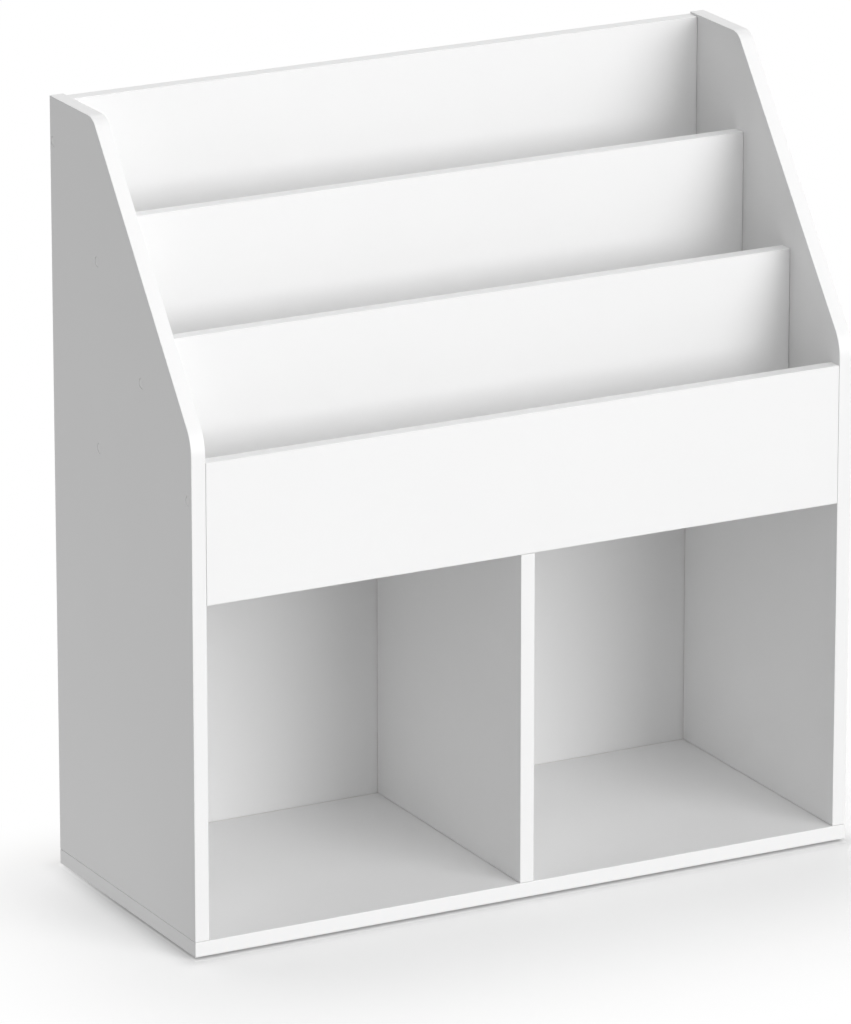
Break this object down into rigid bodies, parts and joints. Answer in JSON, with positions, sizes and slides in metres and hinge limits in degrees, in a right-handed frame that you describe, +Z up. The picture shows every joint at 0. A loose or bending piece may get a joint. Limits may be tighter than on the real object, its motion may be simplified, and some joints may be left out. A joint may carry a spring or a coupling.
{
  "type": "toy storage unit",
  "caption": "White board unit with stepped front-facing book slots between sloped sides, above open toy compartments parted by a divider.",
  "frame": {"origin": "on the floor, under the middle of the unit's overall box", "axes": "+Z up, +X to the right of someone facing the unit, front towards -Y, wall side towards +Y"},
  "size_m": [0.72, 0.3032, 0.7842],
  "materials": {
    "white_board": "white melamine with matching edging, satin",
    "back_sheet": "white-faced hardboard, raw behind",
    "screw": "zinc plated",
    "screw_cap": "white, satin",
    "dowel": "raw beech",
    "glide": "off-white, satin"
  },
  "bodies": {
    "root": {"back_sheet": "back_sheet", "base_panel": "white_board", "centre_divider": "white_board", "centre_front_base_screw": "screw", "centre_rear_base_screw": "screw", "compartment_shelf": "white_board", "divider_front_dowel": "dowel", "divider_rear_dowel": "dowel", "front_fascia": "white_board", "front_tier_board": "white_board", "left_back_board_dowel": "dowel", "left_back_board_screw": "screw", "left_back_board_screw_cap": "screw_cap", "left_fascia_dowel": "dowel", "left_fascia_screw": "screw", "left_fascia_screw_cap": "screw_cap", "left_front_base_screw": "screw", "left_front_glide": "glide", "left_front_tier_dowel": "dowel", "left_front_tier_screw": "screw", "left_front_tier_screw_cap": "screw_cap", "left_rear_base_screw": "screw", "left_rear_glide": "glide", "left_rear_tier_dowel": "dowel", "left_rear_tier_screw": "screw", "left_rear_tier_screw_cap": "screw_cap", "left_shelf_front_dowel": "dowel", "left_shelf_rear_dowel": "dowel", "left_side_panel": "white_board", "left_slot_floor_dowel": "dowel", "left_slot_floor_screw": "screw", "left_slot_floor_screw_cap": "screw_cap", "middle_slot_floor": "white_board", "rear_slot_floor": "white_board", "rear_tier_board": "white_board", "right_back_board_dowel": "dowel", "right_back_board_screw": "screw", "right_back_board_screw_cap": "screw_cap", "right_fascia_dowel": "dowel", "right_fascia_screw": "screw", "right_fascia_screw_cap": "screw_cap", "right_front_base_screw": "screw", "right_front_glide": "glide", "right_front_tier_dowel": "dowel", "right_front_tier_screw": "screw", "right_front_tier_screw_cap": "screw_cap", "right_rear_base_screw": "screw", "right_rear_glide": "glide", "right_rear_tier_dowel": "dowel", "right_rear_tier_screw": "screw", "right_rear_tier_screw_cap": "screw_cap", "right_shelf_front_dowel": "dowel", "right_shelf_rear_dowel": "dowel", "right_side_panel": "white_board", "right_slot_floor_dowel": "dowel", "right_slot_floor_screw": "screw", "right_slot_floor_screw_cap": "screw_cap", "top_back_board": "white_board"}
  },
  "joints": []
}
